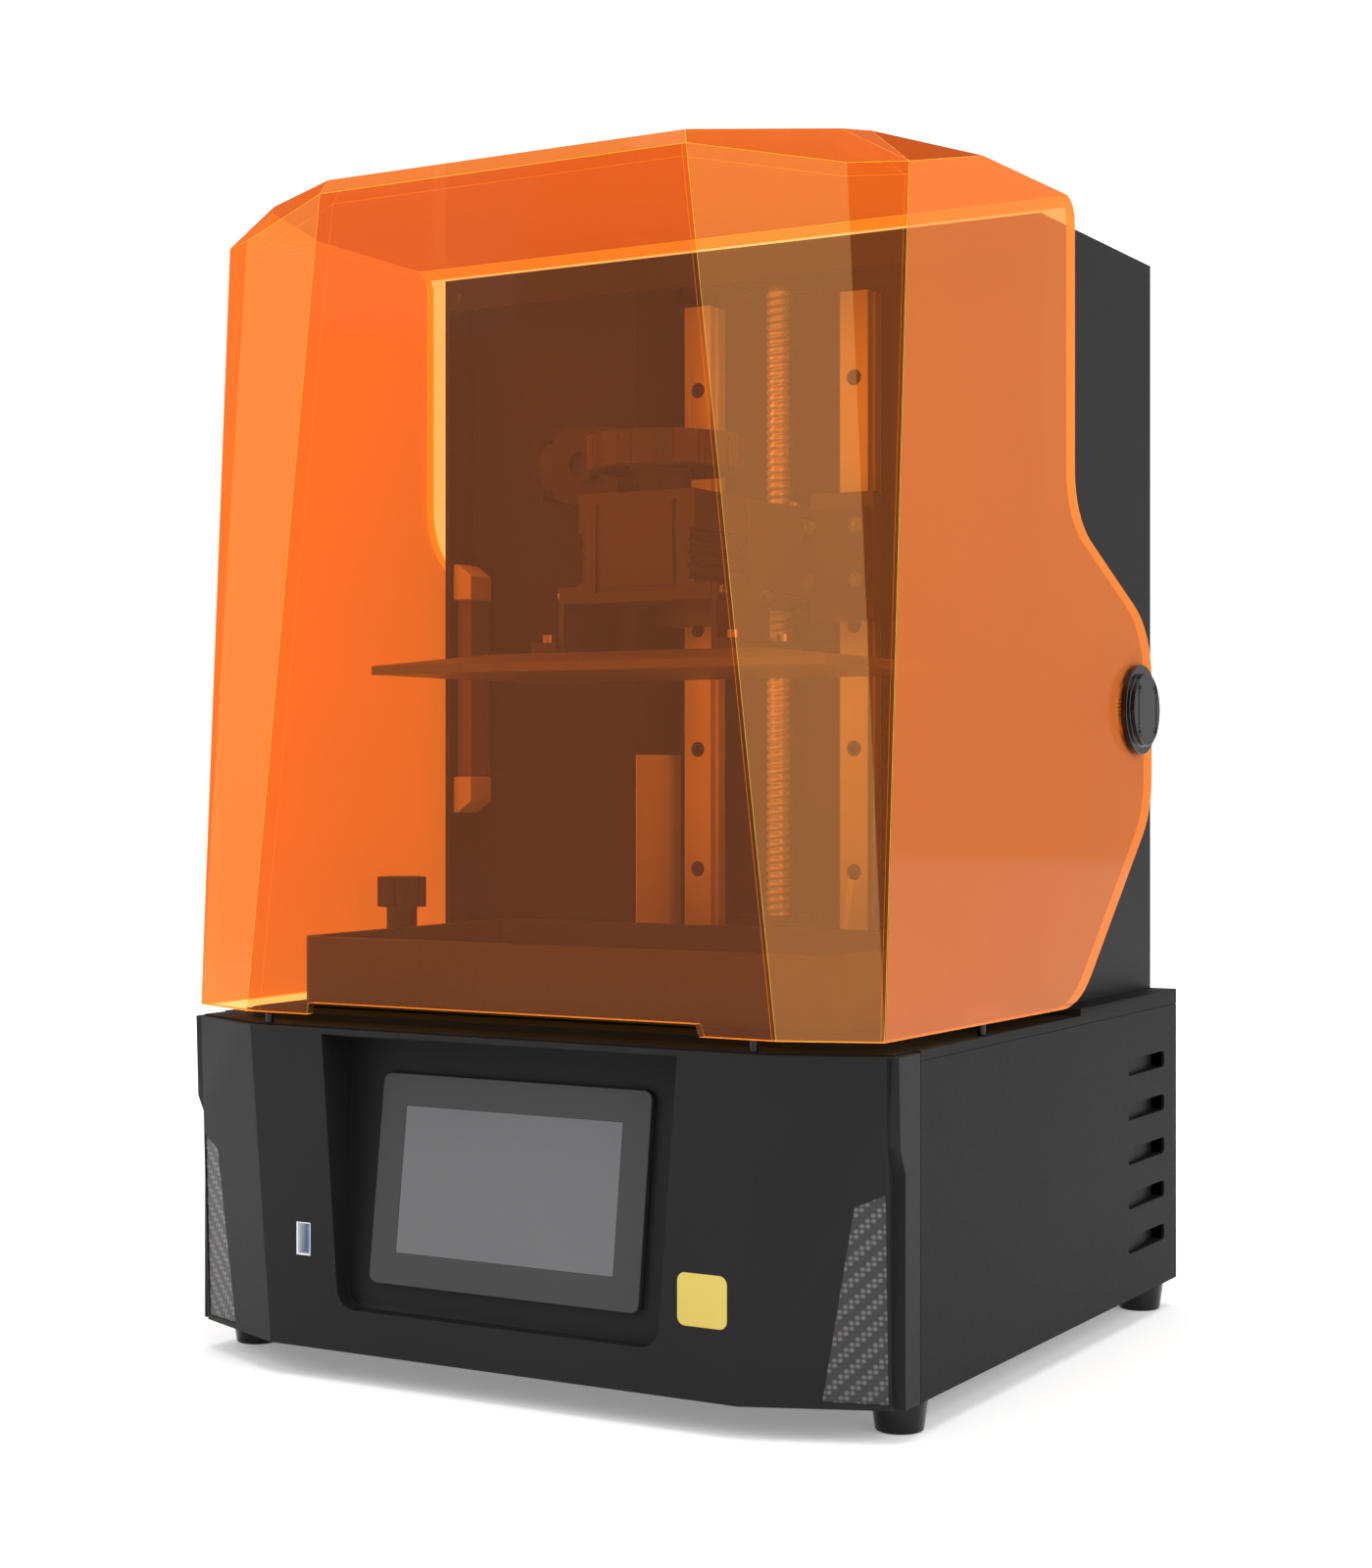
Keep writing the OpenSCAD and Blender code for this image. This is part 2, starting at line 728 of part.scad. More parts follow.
module clamp_knob()
  color("#2a2a2c")
  translate([0, knob_y, 0]) {
    difference() {
      union() {
        translate([0, 0, knob_z]) cylinder(r = knob_d / 2, h = knob_t);
        translate([0, 0, head_top + 0.2]) cylinder(r = 12, h = knob_z - head_top);
        translate([0, 0, 378.2]) cylinder(r = 6, h = 12);
      }
      for (k = [0:11], j = [-1, 0, 1])
        rotate(k * 30 + j * 5) translate([knob_d / 2 + 0.2, 0, knob_z - 1]) cylinder(r = 1, h = knob_t + 2);
      translate([0, 0, knob_z - 1]) difference() {
        cylinder(r = knob_d / 2 - 5, h = 7);
        cylinder(r = 16, h = 8);
      }
    }
  }

// ---------- vat ----------
module vat_body()
  color("#3a3a3c")
  difference() {
    union() {
      translate([0, vat_y, vat_z]) slab(2 * vat_hw, vat_d, vat_top - vat_z, 10);
      both_sides() span([vat_hw - 1, 160], [-50, -12], [vat_z, vat_z + 5.5]);
    }
    translate([0, vat_y, vat_z + 3]) slab(2 * (vat_hw - vat_t), vat_d - 2 * vat_t, 60, 8);
    translate([0, vat_y, vat_z - 1]) slab(246, 156.3, 8, 4);
    both_sides() {
      translate([vat_screw_x, vat_screw_y, vat_z - 1]) cylinder(r = 5, h = 10);
      span([vat_screw_x - 5, vat_screw_x + 5], [vat_screw_y, 0], [vat_z - 1, vat_z + 8]);
    }
  }

module vat_film()
  color("#d9e4ea") translate([0, vat_y, vat_z - 0.3]) slab(262, 160, 0.3, 6);

module vat_screw() {
  translate([vat_screw_x, vat_screw_y, 0]) {
    translate([0, 0, 147.6]) cylinder(r = 4, h = 14);
    translate([0, 0, vat_z + 5.7]) cylinder(r = 7.4, h = 195 - vat_z - 5.7);
    translate([0, 0, 195]) difference() {
      cylinder(r = 11.8, h = 14.6);
      for (k = [0:5]) rotate(k * 60) translate([13.2, 0, -1]) cylinder(r = 3.4, h = 17);
    }
  }
}

module vat_screw_right()
  color("#1d1d1e") vat_screw();

module vat_screw_left()
  color("#1d1d1e") mirror([1, 0, 0]) vat_screw();

// ---------- cover ----------
// Half width of the cover's side wall at depth y
function side_x(y) = 170.2 + lid_flare * (y + 150);

// Right-hand corner lines of the outer faces, each from its lower to its upper end
corner_lines = [
  [[131, front_wall, lid_bottom], [90.8, front_wall, 508.7]],
  [[164.3, -152.6, lid_bottom], [150.1, -142.6, 498.6]],
  [[side_x(-150.2), -150.2, lid_bottom], [side_x(-129.5), -129.5, 499.5]]];

// Right-hand corners of the roof, and the rear corners past the hinge ear
roof_points = [[88.6, -162.6, lid_top], [142.4, -132.8, lid_top], [151.4, -123.6, lid_top],
  [side_x(-62.8), -62.8, lid_top], [side_x(ear_rear), ear_rear, lid_top]];

// Convex body through the corners, set in by the wall and run on past its open bottom and rear
module corner_hull(inset, overrun) {
  low = [for (c = corner_lines) c[0] + (c[0] - c[1]) * overrun / (c[1][2] - c[0][2])];
  high = concat([for (c = corner_lines) c[1]], roof_points);
  rear = [side_x(ear_rear), ear_rear, lid_bottom - overrun];
  right = [for (p = concat(low, high, [rear]))
    let (dy = p[1] < 0 ? inset : overrun, dz = p[2] > 400 ? -inset : 0)
      [p[0] - inset + lid_flare * dy, p[1] + dy, p[2] + dz]];
  points = concat(right, [for (p = right) [-p[0], p[1], p[2]]]);
  hull() polyhedron(points = points, faces = [[for (i = [0:len(points) - 1]) i]]);
}

// Side view of the cover in depth and height, with its hinge ear
side_outline = concat(
  [[-300, lid_bottom - 6], [-300, lid_top + 20], [roof_rear - 16, lid_top + 20]],
  [for (k = [1:6]) [roof_rear - 10 + 10 * sin(15 * k), lid_top - 10 + 10 * cos(15 * k)]],
  corner_arc([roof_rear, lid_top], [roof_rear, 373.4], [122.6, 327], 34),
  corner_arc([roof_rear, 373.4], [122.6, 327], [122.6, 242.3], 39),
  corner_arc([122.6, 327], [122.6, 242.3], [37.1, lid_bottom], 41),
  corner_arc([122.6, 242.3], [37.1, lid_bottom], [-100, lid_bottom], 43));

module cover_shell()
  color("#f07a1e", 0.55)
  difference() {
    intersection() {
      corner_hull(0, 0);
      translate([-200, 0, 0]) rotate([90, 0, 90]) linear_extrude(400) polygon(side_outline);
    }
    corner_hull(lid_t, 40);
    both_sides() rod_x([150, hinge_y, hinge_z], 13, 50);
    translate([0, front_wall - 1, 0]) rotate([-90, 0, 0]) mirror([0, 1, 0])
      linear_extrude(6) polygon([[-99, 150], [-97, 161], [95, 161], [99, 150]]);
  }

module hinge_caps()
  color("#0c0c0d")
  both_sides()
    difference() {
      union() {
        rod_x([ear_x + 0.8, hinge_y, hinge_z], 21, 3);
        rod_x([ear_x + 3.8, hinge_y, hinge_z], 17, 2.5);
        rod_x([col_hw + 10, hinge_y, hinge_z], 13, 8);
      }
      rod_x([150, hinge_y, hinge_z], pin_r + run_gap, 33);
      for (y = [-9.5, 9.5], z = [-10.2, 10.2])
        rod_x([ear_x + 4, hinge_y + y, hinge_z + z], 1, 2);
      for (y = [-9.5, 9.5], z = [-10.2, 10.2])
        rod_x([ear_x + 5, hinge_y + y, hinge_z + z], 2.4, 3);
    }

module hinge_cap_screws()
  color("#2b2b2d")
  both_sides()
    for (y = [-9.5, 9.5], z = [-10.2, 10.2])
      translate([ear_x + 5, hinge_y + y, hinge_z + z]) rotate([0, 90, 0]) cap_screw(1, 2.3, 1.2, 1);

module cover_bumpers()
  color("#101010")
  for (p = [[-120, -163.6], [120, -163.6], [-171, -60], [171, -60]])
    translate([p[0], p[1], deck_z]) cylinder(r = 1.8, h = lid_bottom - deck_z - 0.05);

base_front_panel();
base_side_left();
base_side_right();
base_rear_panel();
base_bottom_plate();
top_deck();
feet();
carbon_inserts();
touch_bezel();
touch_display();
usb_shell();
usb_tongue();
badge();
mask_lcd();
lamp_housing();
lens_array();
led_board();
lamp_heat_sink();
fan_frame();
fan_rotor();
mainboard();
power_supply();
power_inlet();
switch_rocker();
cover_bumpers();
column_housing();
column_rear_cover();
column_back_plate();
z_channel();
z_rail_left();
z_rail_right();
column_screws();
channel_side_cover();
light_bar();
screw_bearings();
z_motor();
heater_box();
heater_rotor();
camera_bracket();
camera_body();
hinge_pins();
ball_screw();
shaft_coupler();
bearing_blocks();
carriage_bracket();
carriage_arm();
ball_nut();
carriage_screws();
head_block();
levelling_brackets();
build_plate();
levelling_screws();
clamp_knob();
vat_body();
vat_film();
vat_screw_left();
vat_screw_right();
cover_shell();
hinge_caps();
hinge_cap_screws();
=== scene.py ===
import bpy, bmesh, json, math
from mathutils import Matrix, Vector


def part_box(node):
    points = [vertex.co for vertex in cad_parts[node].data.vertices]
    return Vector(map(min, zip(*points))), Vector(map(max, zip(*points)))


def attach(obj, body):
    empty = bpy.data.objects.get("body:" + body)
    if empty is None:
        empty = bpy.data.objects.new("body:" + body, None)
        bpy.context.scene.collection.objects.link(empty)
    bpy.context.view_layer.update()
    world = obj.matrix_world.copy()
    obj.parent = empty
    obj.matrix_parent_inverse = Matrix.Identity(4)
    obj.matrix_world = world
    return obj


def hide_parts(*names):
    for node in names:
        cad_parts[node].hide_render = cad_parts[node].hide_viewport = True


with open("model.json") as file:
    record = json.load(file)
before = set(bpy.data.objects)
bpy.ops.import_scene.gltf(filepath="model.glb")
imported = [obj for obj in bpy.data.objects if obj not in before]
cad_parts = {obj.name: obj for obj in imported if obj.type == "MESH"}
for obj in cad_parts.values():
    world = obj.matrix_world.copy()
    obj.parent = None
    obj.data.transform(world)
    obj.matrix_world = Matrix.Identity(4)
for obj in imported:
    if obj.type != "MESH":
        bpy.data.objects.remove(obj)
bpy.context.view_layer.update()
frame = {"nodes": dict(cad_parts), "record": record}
nodes = frame["nodes"]
scene = bpy.context.scene

# ------------------------------------------------------------------ materials
def srgb(r, g, b):
    """Linear colour of an 8-bit screen colour."""
    return tuple(((v / 255 + 0.055) / 1.055) ** 2.4 if v > 10 else v / 255 / 12.92
                 for v in (r, g, b)) + (1.0,)


def new_mat(name):
    m = bpy.data.materials.new(name)
    m.use_nodes = True
    return m, m.node_tree, m.node_tree.nodes["Principled BSDF"]


def noise(nt, scale, detail=3.0, rough=0.55, stretch=None):
    tex = nt.nodes.new("ShaderNodeTexNoise")
    tex.inputs["Scale"].default_value = scale
    tex.inputs["Detail"].default_value = detail
    tex.inputs["Roughness"].default_value = rough
    co = nt.nodes.new("ShaderNodeTexCoord")
    if stretch:
        mp = nt.nodes.new("ShaderNodeMapping")
        mp.inputs["Scale"].default_value = stretch
        nt.links.new(co.outputs["Object"], mp.inputs["Vector"])
        nt.links.new(mp.outputs["Vector"], tex.inputs["Vector"])
    else:
        nt.links.new(co.outputs["Object"], tex.inputs["Vector"])
    return tex


def ramp(nt, src, stops):
    r = nt.nodes.new("ShaderNodeValToRGB")
    while len(r.color_ramp.elements) < len(stops):
        r.color_ramp.elements.new(0.5)
    for e, (pos, col) in zip(r.color_ramp.elements, stops):
        e.position = pos
        e.color = col if len(col) == 4 else col + (1.0,)
    nt.links.new(src, r.inputs["Fac"])
    return r


def rough_range(nt, src, lo, hi):
    mr = nt.nodes.new("ShaderNodeMapRange")
    mr.inputs["To Min"].default_value = lo
    mr.inputs["To Max"].default_value = hi
    nt.links.new(src, mr.inputs["Value"])
    return mr.outputs["Result"]


def bump(nt, src, strength, dist=0.0004):
    b = nt.nodes.new("ShaderNodeBump")
    b.inputs["Strength"].default_value = strength
    b.inputs["Distance"].default_value = dist
    nt.links.new(src, b.inputs["Height"])
    return b.outputs["Normal"]


def grained(name, col, rough, grain=900.0, grain_bump=0.25, spread=0.12, metal=0.0, spec=0.35,
            stretch=None, coat=0.0, dist=0.0002):
    """Moulded or coated surface: broad tone variation, fine grain and uneven gloss."""
    m, nt, p = new_mat(name)
    broad = noise(nt, 9.0, 4.0)
    fine = noise(nt, grain, 2.0, 0.6, stretch)
    c = tuple(col[:3])
    lo = tuple(v * (1 - spread) for v in c)
    hi = tuple(min(1.0, v * (1 + spread)) for v in c)
    tone = ramp(nt, broad.outputs["Fac"], [(0.3, lo), (0.7, hi)])
    nt.links.new(tone.outputs["Color"], p.inputs["Base Color"])
    nt.links.new(rough_range(nt, fine.outputs["Fac"], rough - 0.07, rough + 0.07), p.inputs["Roughness"])
    nt.links.new(bump(nt, fine.outputs["Fac"], grain_bump, dist), p.inputs["Normal"])
    p.inputs["Metallic"].default_value = metal
    p.inputs["Specular IOR Level"].default_value = spec
    p.inputs["Coat Weight"].default_value = coat
    p.inputs["Coat Roughness"].default_value = 0.08
    return m


MAT = {
    "panel": grained("panel_black", srgb(27, 27, 28), 0.50, 700, 0.03, spec=0.16),
    "sheet": grained("sheet_black", srgb(27, 27, 28), 0.58, 700, 0.03, spec=0.10),
    "column": grained("column_black", srgb(32, 32, 33), 0.55, 600, 0.02, spec=0.14),
    "rubber": grained("rubber_black", srgb(8, 8, 8), 0.22, 400, 0.03, spec=0.3),
    "bezel": grained("bezel_grey", srgb(58, 58, 60), 0.42, 700, 0.03, spread=0.05, spec=0.3),
    "display": grained("display_grey", srgb(102, 102, 104), 0.35, 700, 0.02, spread=0.04),
    "steel": grained("ground_steel", srgb(246, 247, 248), 0.34, 160, 0.02, 0.05, 0.12, 0.5, (1, 1, 12)),
    "blue": grained("port_blue", srgb(60, 122, 178), 0.35, 600, 0.05, 0.05, spec=0.5),
    "gold": grained("gold_plate", srgb(205, 184, 84), 0.38, 900, 0.08, 0.05, 0.15, 0.5, (14, 1, 1)),
    "mask": grained("mask_glass", srgb(30, 33, 40), 0.10, 300, 0.01, 0.05, spec=0.5, coat=0.6),
    "alloy": grained("raw_alloy", srgb(168, 170, 173), 0.40, 300, 0.14, 0.08, 1.0, 0.5, (1, 10, 1)),
    "lens": grained("lens_clear", srgb(214, 228, 234), 0.08, 200, 0.01, 0.03, spec=0.5),
    "board_white": grained("board_white", srgb(222, 224, 228), 0.45, 400, 0.05, 0.04),
    "board_green": grained("board_green", srgb(26, 84, 54), 0.35, 220, 0.12, 0.15),
    "moulded": grained("moulded_black", srgb(30, 30, 31), 0.48, 600, 0.05),
    "motor": grained("motor_black", srgb(26, 26, 27), 0.36, 900, 0.12),
    "screw_steel": grained("polished_steel", srgb(240, 241, 243), 0.20, 200, 0.02, 0.04, 0.5, 0.5),
    "dark_alloy": grained("dark_alloy", srgb(60, 60, 62), 0.44, 500, 0.02, 0.08, 0.2, 0.4),
    "block_steel": grained("bearing_steel", srgb(84, 85, 87), 0.38, 160, 0.02, 0.08, 0.4, 0.5, (1, 1, 8)),
    "plate": grained("plate_alloy", srgb(96, 97, 99), 0.44, 400, 0.02, 0.06, 0.5, 0.5),
    "vat": grained("vat_alloy", srgb(56, 56, 58), 0.42, 500, 0.02, 0.06, 0.3, 0.4),
    "film": grained("film_clear", srgb(200, 214, 222), 0.12, 150, 0.02, 0.04, spec=0.5),
    "grip": grained("grip_black", srgb(26, 26, 27), 0.38, 500, 0.03),
    "cap": grained("cap_gloss", srgb(7, 7, 8), 0.12, 300, 0.01, 0.05, spec=0.35, coat=0.3),
    "diffuser": grained("diffuser", srgb(206, 202, 196), 0.55, 700, 0.08, 0.04),
    "bar_tint": grained("bar_tint", srgb(104, 88, 80), 0.40, 500, 0.03, 0.04),
    "zinc": grained("zinc_steel", srgb(188, 189, 192), 0.30, 400, 0.06, 0.06, 1.0, 0.5),
    "dark_steel": grained("dark_steel", srgb(58, 58, 60), 0.34, 500, 0.08, 0.06, 0.8, 0.5),
}


def carbon_material():
    """Two by two twill: rows of short diagonal tows with painted sheen, lighter on their crests and on the
    over tows, glossy clear coat over them.
    """
    m, nt, p = new_mat("carbon_weave")
    co = nt.nodes.new("ShaderNodeTexCoord")
    sep = nt.nodes.new("ShaderNodeSeparateXYZ")
    nt.links.new(co.outputs["Object"], sep.inputs[0])

    def math_node(op, a, b=None):
        n = nt.nodes.new("ShaderNodeMath")
        n.operation = op
        for i, v in enumerate((a, b)):
            if v is None:
                continue
            if isinstance(v, (int, float)):
                n.inputs[i].default_value = v
            else:
                nt.links.new(v, n.inputs[i])
        return n.outputs[0]

    tow = 0.0021
    across = math_node("ABSOLUTE", sep.outputs["X"])
    u = math_node("DIVIDE", across, tow)
    v = math_node("DIVIDE", sep.outputs["Z"], tow)
    iu, iv = math_node("FLOOR", u), math_node("FLOOR", v)
    diag = math_node("MODULO", math_node("ADD", math_node("SUBTRACT", iu, iv), 400.0), 4.0)
    over = math_node("LESS_THAN", diag, 1.5)
    fu = math_node("FRACT", u)
    fv = math_node("FRACT", v)

    def hill(x):
        return math_node("MULTIPLY", math_node("MULTIPLY", x, math_node("SUBTRACT", 1.0, x)), 4.0)

    height = math_node("MULTIPLY", math_node("ADD", hill(fu), hill(fv)), 0.5)
    height = math_node("MULTIPLY", height, math_node("ADD", math_node("MULTIPLY", over, 0.8), 0.2))
    # Painted sheen: tow height drives the colour, so crests and over tows come out lighter than the black
    # fibre.
    col = ramp(nt, height, [(0.12, srgb(8, 8, 8)), (0.55, srgb(34, 34, 35)), (0.95, srgb(86, 86, 88))])
    nt.links.new(col.outputs["Color"], p.inputs["Base Color"])
    nt.links.new(bump(nt, height, 0.6, 0.0004), p.inputs["Normal"])
    nt.links.new(rough_range(nt, height, 0.5, 0.3), p.inputs["Roughness"])
    p.inputs["Coat Weight"].default_value = 0.3
    p.inputs["Coat Roughness"].default_value = 0.15
    return m


MAT["carbon"] = carbon_material()


def amber(name, tint, haze, haze_share, gloss=0.05, painted_glow=0.0, graze=None):
    """Clear tinted sheet: a tinted see-through part, and a share of milky scatter with a glossy face; an
    emission strength above zero makes the scatter part emit light as a painted highlight.
    """
    m, nt, p = new_mat(name)
    p.inputs["Emission Color"].default_value = haze + (1.0,)
    p.inputs["Emission Strength"].default_value = painted_glow
    out = nt.nodes["Material Output"]
    clear = nt.nodes.new("ShaderNodeBsdfTransparent")
    clear.inputs["Color"].default_value = tint + (1.0,)
    if graze:
        facing = nt.nodes.new("ShaderNodeLayerWeight")
        facing.inputs["Blend"].default_value = 0.5
        nt.links.new(ramp(nt, facing.outputs["Facing"], [(0.45, tint), (0.80, graze)]).outputs["Color"],
                     clear.inputs["Color"])
    cloud = noise(nt, 3.0, 3.0)
    lo = tuple(v * 0.94 for v in haze)
    tone = ramp(nt, cloud.outputs["Fac"], [(0.3, lo), (0.7, haze)])
    nt.links.new(tone.outputs["Color"], p.inputs["Base Color"])
    p.inputs["Roughness"].default_value = gloss
    p.inputs["Specular IOR Level"].default_value = 0.25
    mix = nt.nodes.new("ShaderNodeMixShader")
    mix.inputs["Fac"].default_value = haze_share
    nt.links.new(clear.outputs[0], mix.inputs[1])
    nt.links.new(p.outputs[0], mix.inputs[2])
    nt.links.new(mix.outputs[0], out.inputs["Surface"])
    return m


# One amber acrylic is split into copies per face. Their different tints and haze shares are painted light
# for how refraction and the studio lamps fall on each face, and the side copy's heavy haze is a painted
# reflection of the side softbox.
AMBER = [
    amber("amber_front", (1.0, 0.44, 0.10), (1.0, 0.37, 0.16), 0.075),
    amber("amber_facet", (1.0, 0.60, 0.20), (1.0, 0.40, 0.13), 0.22),
    amber("amber_strip", (1.0, 0.50, 0.13), (1.0, 0.29, 0.08), 0.10),
    amber("amber_side_painted_reflection", (1.0, 0.46, 0.14), (1.0, 0.25, 0.05), 0.45),
    amber("amber_roof", (1.0, 0.46, 0.06), (0.9, 0.28, 0.02), 0.12, graze=(0.63, 0.19, 0.010)),
    amber("amber_inner", (1.0, 0.97, 0.92), (1.0, 0.5, 0.2), 0.02),
    # The edge copy emits light: a painted highlight for the bright refracted lines along the cover's edges.
    amber("amber_edge_painted_highlight", (1.0, 0.72, 0.02), (1.0, 0.60, 0.01), 0.85, painted_glow=0.50),
    # The corner copy is darker: painted shade for the dark band at the upright corners.
    amber("amber_corner_painted_shade", (0.42, 0.16, 0.05), (0.20, 0.075, 0.03), 0.45),
]
FRONT, FACET, STRIP, SIDE, ROOF, INNER, EDGE, CORNER = range(8)

# ------------------------------------------------------------------ CAD nodes
NODE_MAT = {
    "base_front_panel": "panel", "base_side_left": "sheet", "base_side_right": "sheet",
    "base_rear_panel": "sheet", "base_bottom_plate": "sheet", "top_deck": "sheet", "feet": "rubber",
    "carbon_inserts": "carbon", "touch_bezel": "bezel", "touch_display": "display", "usb_shell": "steel",
    "usb_tongue": "blue", "badge": "gold", "mask_lcd": "mask", "lamp_housing": "alloy", "lens_array": "lens",
    "led_board": "board_white", "lamp_heat_sink": "alloy", "fan_frame": "moulded", "fan_rotor": "moulded",
    "mainboard": "board_green", "power_supply": "zinc", "power_inlet": "moulded", "switch_rocker": "moulded",
    "cover_bumpers": "rubber", "column_housing": "column", "column_rear_cover": "column",
    "column_back_plate": "column", "z_channel": "column", "z_rail_left": "steel", "z_rail_right": "steel",
    "column_screws": "dark_steel", "channel_side_cover": "steel", "light_bar": "diffuser",
    "screw_bearings": "motor", "z_motor": "motor", "heater_box": "moulded", "heater_rotor": "moulded",
    "camera_bracket": "column", "camera_body": "moulded", "hinge_pins": "motor", "ball_screw": "screw_steel",
    "shaft_coupler": "alloy", "bearing_blocks": "block_steel", "carriage_bracket": "dark_alloy",
    "carriage_arm": "dark_alloy", "ball_nut": "block_steel", "carriage_screws": "zinc",
    "head_block": "dark_alloy", "levelling_brackets": "dark_alloy", "build_plate": "plate",
    "levelling_screws": "zinc", "clamp_knob": "dark_alloy", "vat_body": "vat", "vat_film": "film",
    "vat_screw_left": "grip", "vat_screw_right": "grip", "cover_shell": "panel", "hinge_caps": "cap",
    "hinge_cap_screws": "dark_steel",
}
# Edge rounding of each rebuilt node, in millimetres
BEVEL = {
    "base_front_panel": 1.1, "base_side_left": 0.5, "base_side_right": 0.5, "base_rear_panel": 0.4,
    "top_deck": 0.8, "feet": 0.8, "touch_bezel": 0.7, "touch_display": 0.2, "usb_shell": 0.25,
    "usb_tongue": 0.2, "badge": 0.15, "column_housing": 1.0, "column_rear_cover": 0.6,
    "z_rail_left": 0.4, "z_rail_right": 0.4, "light_bar": 0.6, "heater_box": 0.8, "camera_body": 1.2,
    "camera_bracket": 0.8, "bearing_blocks": 0.9, "carriage_bracket": 0.8, "carriage_arm": 1.0,
    "head_block": 0.8, "levelling_brackets": 0.5, "build_plate": 0.4, "clamp_knob": 0.9, "vat_body": 0.4,
    "vat_screw_left": 0.9, "vat_screw_right": 0.9, "hinge_caps": 0.9, "power_inlet": 0.6,
    "switch_rocker": 0.5, "shaft_coupler": 0.4, "column_screws": 0.25, "carriage_screws": 0.25,
    "levelling_screws": 0.25, "hinge_cap_screws": 0.15, "z_motor": 1.0, "power_supply": 0.8,
    "cover_bumpers": 0.3, "fan_rotor": 0.4, "screw_bearings": 0.6,
}
for name, obj in nodes.items():
    obj.data.materials.clear()
    obj.data.materials.append(MAT[NODE_MAT[name]])


def clean_copy(node, suffix, dissolve=0.6):
    """A welded copy of a CAD node's mesh with its flat faces merged."""
    bm = bmesh.new()
    bm.from_mesh(nodes[node].data)
    bmesh.ops.remove_doubles(bm, verts=bm.verts, dist=2e-6)
    bmesh.ops.dissolve_limit(bm, angle_limit=math.radians(dissolve), verts=bm.verts, edges=bm.edges)
    me = bpy.data.meshes.new(node + suffix)
    bm.to_mesh(me)
    bm.free()
    return me


def add_piece(name, me, body, node=None, mats=(), smooth=35.0):
    obj = bpy.data.objects.new(name, me)
    scene.collection.objects.link(obj)
    for m in mats:
        me.materials.append(m)
    if smooth:
        me.shade_smooth()
        me.set_sharp_from_angle(angle=math.radians(smooth))
    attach(obj, body)
    if node:
        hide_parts(node)
    return obj


EDGE_ANGLE = 28.0  # edges sharper than this are rounded, in degrees
BODY = {n: b for b, ns in frame["record"]["behaviour"]["bodies"].items() for n in ns}
for node, width in BEVEL.items():
    piece = add_piece(node + "_finished", clean_copy(node, "_finished"), BODY[node], node,
                      [MAT[NODE_MAT[node]]], smooth=EDGE_ANGLE)
    mod = piece.modifiers.new("edges", "BEVEL")
    mod.width = width / 1000
    mod.segments = 2
    mod.limit_method = "ANGLE"
    mod.angle_limit = math.radians(EDGE_ANGLE)
    mod.harden_normals = True
    mod.use_clamp_overlap = True

# ------------------------------------------------------------------ cover
FLAT = 0.985       # a face this square to an axis counts as flat to it
LOW_RIM_Z = 0.2    # level faces below this are the cover's bottom rim
REAR_RIM_Y = 0.03  # faces looking back past this are the cover's rear rim
CORNER_WIDTH, EDGE_WIDTH = 0.0020, 0.0011
COVER_EDGE_ANGLE = 12.0

mesh = clean_copy("cover_shell", "_clear", 0.3)
centre = Vector((0, -0.06, 0.335))
for poly in mesh.polygons:
    n, c = poly.normal, poly.center
    outward = n.dot(c - centre) > 0
    # Bottom and rear rim faces take the edge copy, a light-emitting painted highlight.
    if abs(n.z) > 0.98 and c.z < LOW_RIM_Z:
        poly.material_index = EDGE
    elif n.y > 0.3 and c.y > REAR_RIM_Y:
        poly.material_index = EDGE
    elif not outward:
        poly.material_index = INNER
    elif abs(n.x) > FLAT:
        poly.material_index = SIDE
    elif n.y < -FLAT:
        poly.material_index = FRONT
    elif n.z > 0.6:
        poly.material_index = ROOF
    elif n.y < -0.85:
        poly.material_index = FACET
    else:
        poly.material_index = STRIP
# The upright corners between the narrow strip and the side panel get a chamfer first, coloured darker as
# painted shade
corner_weight = mesh.attributes.new("bevel_weight_edge", "FLOAT", "EDGE")
sides_of = {}
for poly in mesh.polygons:
    for key in poly.edge_keys:
        sides_of.setdefault(key, set()).add(poly.material_index)
for edge in mesh.edges:
    meets = sides_of.get(edge.key, set())
    corner_weight.data[edge.index].value = 1.0 if meets == {STRIP, SIDE} else 0.0
cover = add_piece("cover_clear", mesh, "cover", "cover_shell", AMBER,
                  smooth=COVER_EDGE_ANGLE)
mod = cover.modifiers.new("corner_painted_shade_band", "BEVEL")
mod.width = CORNER_WIDTH
mod.segments = 1
mod.limit_method = "WEIGHT"
mod.material = CORNER
# A thin strip on every sharp cover edge takes the edge copy, a light-emitting painted highlight.
mod = cover.modifiers.new("edges", "BEVEL")
mod.width = EDGE_WIDTH
mod.segments = 1
mod.limit_method = "ANGLE"
mod.angle_limit = math.radians(COVER_EDGE_ANGLE)
mod.material = EDGE

# ------------------------------------------------------------------ louvres and light bar
VENT_Y = (0.1016, 0.1516)
VENT_Z, VENT_PITCH, VENT_COUNT = 0.122, 0.02085, 5
SCOOP_HALF, SCOOP_WALL, SHEET = 0.0038, 0.0006, 0.0015
SCOOP_DEPTHS = ((VENT_Y[0], 0.0002), (VENT_Y[0] + 0.03, 0.0022), (VENT_Y[1], 0.0052))


